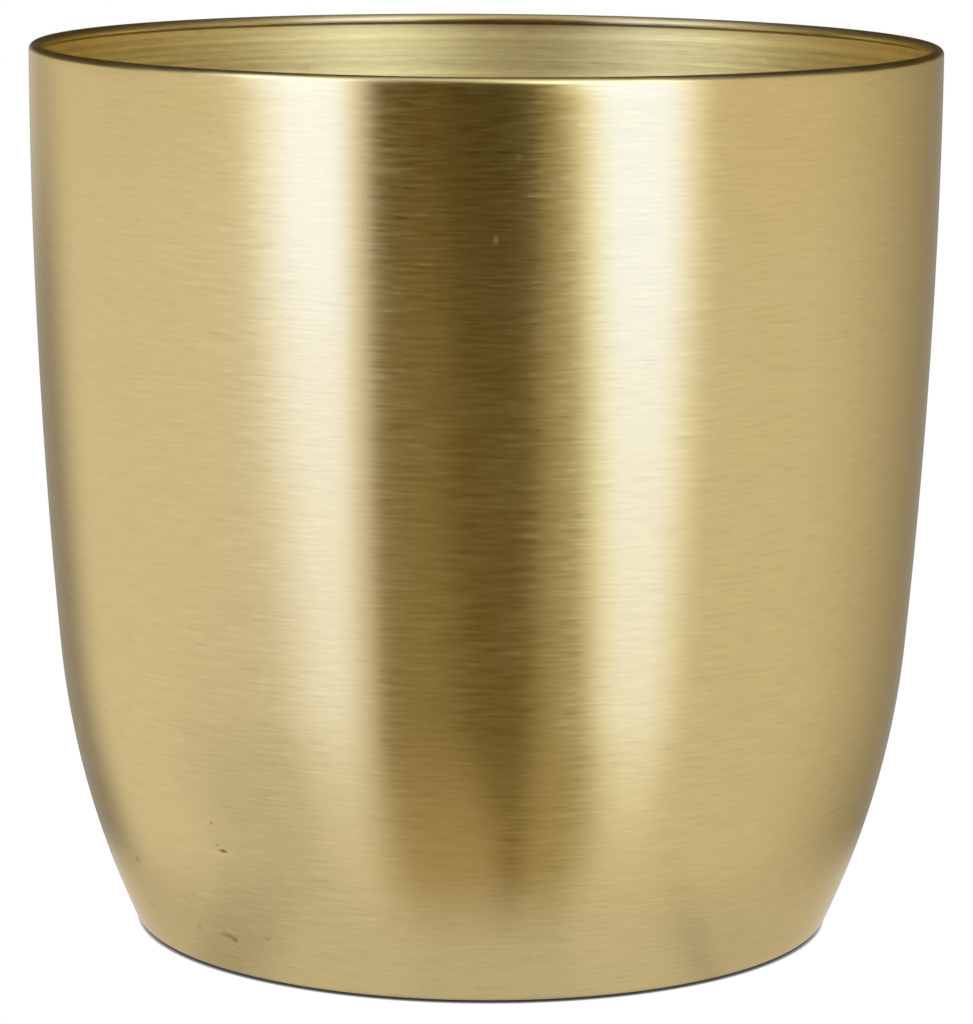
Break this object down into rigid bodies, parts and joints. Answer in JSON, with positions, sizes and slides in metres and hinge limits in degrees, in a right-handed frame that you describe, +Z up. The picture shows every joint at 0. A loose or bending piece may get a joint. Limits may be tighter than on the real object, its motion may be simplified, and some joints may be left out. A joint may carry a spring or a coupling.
{
  "type": "cachepot",
  "caption": "Brushed brass cachepot: round spun shell with a rounded hem at the rim, walls that curve in to a flat base, and felt feet; covers a plant's nursery pot.",
  "frame": {"origin": "on the surface that the feet stand on, on the pot's axis", "axes": "+Z up along the pot's axis and out of its mouth; X and Y run between the feet"},
  "size_m": [0.2, 0.2, 0.1959],
  "materials": {
    "brass": "brushed round the axis, satin",
    "felt": "pressed felt, matt",
    "adhesive": "thin acrylic film"
  },
  "bodies": {
    "root": {"pot_shell": "brass", "felt_foot_1": "felt", "felt_foot_2": "felt", "felt_foot_3": "felt", "felt_foot_4": "felt", "foot_adhesive_1": "adhesive", "foot_adhesive_2": "adhesive", "foot_adhesive_3": "adhesive", "foot_adhesive_4": "adhesive"}
  },
  "joints": []
}
